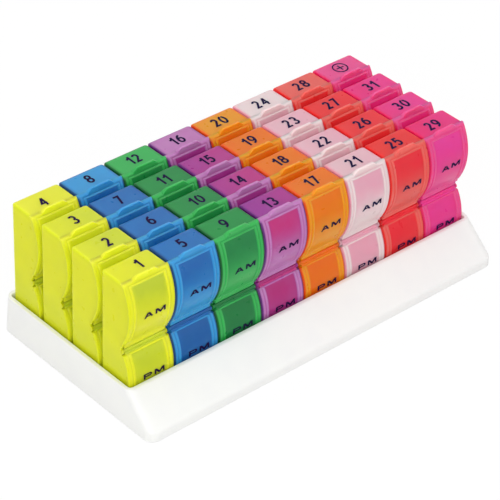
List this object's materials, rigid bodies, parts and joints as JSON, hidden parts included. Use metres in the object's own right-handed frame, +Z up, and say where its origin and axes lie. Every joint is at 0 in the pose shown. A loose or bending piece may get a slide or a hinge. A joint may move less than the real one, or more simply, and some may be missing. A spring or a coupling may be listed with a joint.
{
  "type": "monthly pill organizer",
  "caption": "Low sloping-front tray holding a grid of upright two-compartment pill boxes in coloured columns, each with bulged hinged lids with thumb tabs.",
  "frame": {"origin": "on the table, under the middle of the tray's footprint", "axes": "+X to the right along the tray's front, +Y to the back, +Z up"},
  "size_m": [0.2152, 0.1082, 0.0732],
  "materials": {
    "tray_white": "smooth opaque white moulding",
    "yellow": "translucent, smooth",
    "yellow_lid": "translucent, slightly frosted",
    "blue": "translucent, smooth",
    "blue_lid": "translucent, slightly frosted",
    "green": "translucent, smooth",
    "green_lid": "translucent, slightly frosted",
    "purple": "translucent, smooth",
    "purple_lid": "translucent, slightly frosted",
    "orange": "translucent, smooth",
    "orange_lid": "translucent, slightly frosted",
    "pale_pink": "translucent, smooth",
    "pale_pink_lid": "translucent, slightly frosted",
    "red": "translucent, smooth",
    "red_lid": "translucent, slightly frosted",
    "magenta": "translucent, smooth",
    "magenta_lid": "translucent, slightly frosted",
    "print_ink": "printed numbers and lid marks, dark violet-blue"
  },
  "bodies": {
    "tray": {"tray": "tray_white"},
    "box_01": {"box_01_body": "yellow", "box_01_pm_lid": "yellow_lid"},
    "box_01_am_lid": {"box_01_am_lid": "yellow_lid"},
    "box_02": {"box_02": "yellow"},
    "box_03": {"box_03": "yellow"},
    "box_04": {"box_04": "yellow"},
    "box_05": {"box_05_body": "blue", "box_05_pm_lid": "blue_lid"},
    "box_05_am_lid": {"box_05_am_lid": "blue_lid"},
    "box_06": {"box_06": "blue"},
    "box_07": {"box_07": "blue"},
    "box_08": {"box_08": "blue"},
    "box_09": {"box_09_body": "green", "box_09_pm_lid": "green_lid"},
    "box_09_am_lid": {"box_09_am_lid": "green_lid"},
    "box_10": {"box_10": "green"},
    "box_11": {"box_11": "green"},
    "box_12": {"box_12": "green"},
    "box_13": {"box_13_body": "purple", "box_13_pm_lid": "purple_lid"},
    "box_13_am_lid": {"box_13_am_lid": "purple_lid"},
    "box_14": {"box_14": "purple"},
    "box_15": {"box_15": "purple"},
    "box_16": {"box_16": "purple"},
    "box_17": {"box_17_body": "orange", "box_17_pm_lid": "orange_lid"},
    "box_17_am_lid": {"box_17_am_lid": "orange_lid"},
    "box_18": {"box_18": "orange"},
    "box_19": {"box_19": "orange"},
    "box_20": {"box_20": "orange"},
    "box_21": {"box_21_body": "pale_pink", "box_21_pm_lid": "pale_pink_lid"},
    "box_21_am_lid": {"box_21_am_lid": "pale_pink_lid"},
    "box_22": {"box_22": "pale_pink"},
    "box_23": {"box_23": "pale_pink"},
    "box_24": {"box_24": "pale_pink"},
    "box_25": {"box_25_body": "red", "box_25_pm_lid": "red_lid"},
    "box_25_am_lid": {"box_25_am_lid": "red_lid"},
    "box_26": {"box_26": "red"},
    "box_27": {"box_27": "red"},
    "box_28": {"box_28": "red"},
    "box_29": {"box_29_body": "magenta", "box_29_pm_lid": "magenta_lid"},
    "box_29_am_lid": {"box_29_am_lid": "magenta_lid"},
    "box_30": {"box_30": "magenta"},
    "box_31": {"box_31": "magenta"},
    "box_32": {"box_32": "magenta"}
  },
  "joints": [
    {"name": "box_01_am_lid_hinge", "type": "hinge", "parent": "box_01", "child": "box_01_am_lid", "pos_m": [-0.091, -0.0283, 0.03824], "axis": [1, 0, 0], "range_deg": [0, 110]},
    {"name": "box_05_am_lid_hinge", "type": "hinge", "parent": "box_05", "child": "box_05_am_lid", "pos_m": [-0.065, -0.0283, 0.03824], "axis": [1, 0, 0], "range_deg": [0, 110]},
    {"name": "box_09_am_lid_hinge", "type": "hinge", "parent": "box_09", "child": "box_09_am_lid", "pos_m": [-0.039, -0.0283, 0.03824], "axis": [1, 0, 0], "range_deg": [0, 110]},
    {"name": "box_13_am_lid_hinge", "type": "hinge", "parent": "box_13", "child": "box_13_am_lid", "pos_m": [-0.013, -0.0283, 0.03824], "axis": [1, 0, 0], "range_deg": [0, 110]},
    {"name": "box_17_am_lid_hinge", "type": "hinge", "parent": "box_17", "child": "box_17_am_lid", "pos_m": [0.013, -0.0283, 0.03824], "axis": [1, 0, 0], "range_deg": [0, 110]},
    {"name": "box_21_am_lid_hinge", "type": "hinge", "parent": "box_21", "child": "box_21_am_lid", "pos_m": [0.039, -0.0283, 0.03824], "axis": [1, 0, 0], "range_deg": [0, 110]},
    {"name": "box_25_am_lid_hinge", "type": "hinge", "parent": "box_25", "child": "box_25_am_lid", "pos_m": [0.065, -0.0283, 0.03824], "axis": [1, 0, 0], "range_deg": [0, 110]},
    {"name": "box_29_am_lid_hinge", "type": "hinge", "parent": "box_29", "child": "box_29_am_lid", "pos_m": [0.091, -0.0283, 0.03824], "axis": [1, 0, 0], "range_deg": [0, 110]},
    {"name": "box_01_lift", "type": "slide", "parent": "tray", "child": "box_01", "axis": [0, 0, 1], "range_m": [0, 0.075]},
    {"name": "box_02_lift", "type": "slide", "parent": "tray", "child": "box_02", "axis": [0, 0, 1], "range_m": [0, 0.075]},
    {"name": "box_03_lift", "type": "slide", "parent": "tray", "child": "box_03", "axis": [0, 0, 1], "range_m": [0, 0.075]},
    {"name": "box_04_lift", "type": "slide", "parent": "tray", "child": "box_04", "axis": [0, 0, 1], "range_m": [0, 0.075]},
    {"name": "box_05_lift", "type": "slide", "parent": "tray", "child": "box_05", "axis": [0, 0, 1], "range_m": [0, 0.075]},
    {"name": "box_06_lift", "type": "slide", "parent": "tray", "child": "box_06", "axis": [0, 0, 1], "range_m": [0, 0.075]},
    {"name": "box_07_lift", "type": "slide", "parent": "tray", "child": "box_07", "axis": [0, 0, 1], "range_m": [0, 0.075]},
    {"name": "box_08_lift", "type": "slide", "parent": "tray", "child": "box_08", "axis": [0, 0, 1], "range_m": [0, 0.075]},
    {"name": "box_09_lift", "type": "slide", "parent": "tray", "child": "box_09", "axis": [0, 0, 1], "range_m": [0, 0.075]},
    {"name": "box_10_lift", "type": "slide", "parent": "tray", "child": "box_10", "axis": [0, 0, 1], "range_m": [0, 0.075]},
    {"name": "box_11_lift", "type": "slide", "parent": "tray", "child": "box_11", "axis": [0, 0, 1], "range_m": [0, 0.075]},
    {"name": "box_12_lift", "type": "slide", "parent": "tray", "child": "box_12", "axis": [0, 0, 1], "range_m": [0, 0.075]},
    {"name": "box_13_lift", "type": "slide", "parent": "tray", "child": "box_13", "axis": [0, 0, 1], "range_m": [0, 0.075]},
    {"name": "box_14_lift", "type": "slide", "parent": "tray", "child": "box_14", "axis": [0, 0, 1], "range_m": [0, 0.075]},
    {"name": "box_15_lift", "type": "slide", "parent": "tray", "child": "box_15", "axis": [0, 0, 1], "range_m": [0, 0.075]},
    {"name": "box_16_lift", "type": "slide", "parent": "tray", "child": "box_16", "axis": [0, 0, 1], "range_m": [0, 0.075]},
    {"name": "box_17_lift", "type": "slide", "parent": "tray", "child": "box_17", "axis": [0, 0, 1], "range_m": [0, 0.075]},
    {"name": "box_18_lift", "type": "slide", "parent": "tray", "child": "box_18", "axis": [0, 0, 1], "range_m": [0, 0.075]},
    {"name": "box_19_lift", "type": "slide", "parent": "tray", "child": "box_19", "axis": [0, 0, 1], "range_m": [0, 0.075]},
    {"name": "box_20_lift", "type": "slide", "parent": "tray", "child": "box_20", "axis": [0, 0, 1], "range_m": [0, 0.075]},
    {"name": "box_21_lift", "type": "slide", "parent": "tray", "child": "box_21", "axis": [0, 0, 1], "range_m": [0, 0.075]},
    {"name": "box_22_lift", "type": "slide", "parent": "tray", "child": "box_22", "axis": [0, 0, 1], "range_m": [0, 0.075]},
    {"name": "box_23_lift", "type": "slide", "parent": "tray", "child": "box_23", "axis": [0, 0, 1], "range_m": [0, 0.075]},
    {"name": "box_24_lift", "type": "slide", "parent": "tray", "child": "box_24", "axis": [0, 0, 1], "range_m": [0, 0.075]},
    {"name": "box_25_lift", "type": "slide", "parent": "tray", "child": "box_25", "axis": [0, 0, 1], "range_m": [0, 0.075]},
    {"name": "box_26_lift", "type": "slide", "parent": "tray", "child": "box_26", "axis": [0, 0, 1], "range_m": [0, 0.075]},
    {"name": "box_27_lift", "type": "slide", "parent": "tray", "child": "box_27", "axis": [0, 0, 1], "range_m": [0, 0.075]},
    {"name": "box_28_lift", "type": "slide", "parent": "tray", "child": "box_28", "axis": [0, 0, 1], "range_m": [0, 0.075]},
    {"name": "box_29_lift", "type": "slide", "parent": "tray", "child": "box_29", "axis": [0, 0, 1], "range_m": [0, 0.075]},
    {"name": "box_30_lift", "type": "slide", "parent": "tray", "child": "box_30", "axis": [0, 0, 1], "range_m": [0, 0.075]},
    {"name": "box_31_lift", "type": "slide", "parent": "tray", "child": "box_31", "axis": [0, 0, 1], "range_m": [0, 0.075]},
    {"name": "box_32_lift", "type": "slide", "parent": "tray", "child": "box_32", "axis": [0, 0, 1], "range_m": [0, 0.075]}
  ]
}
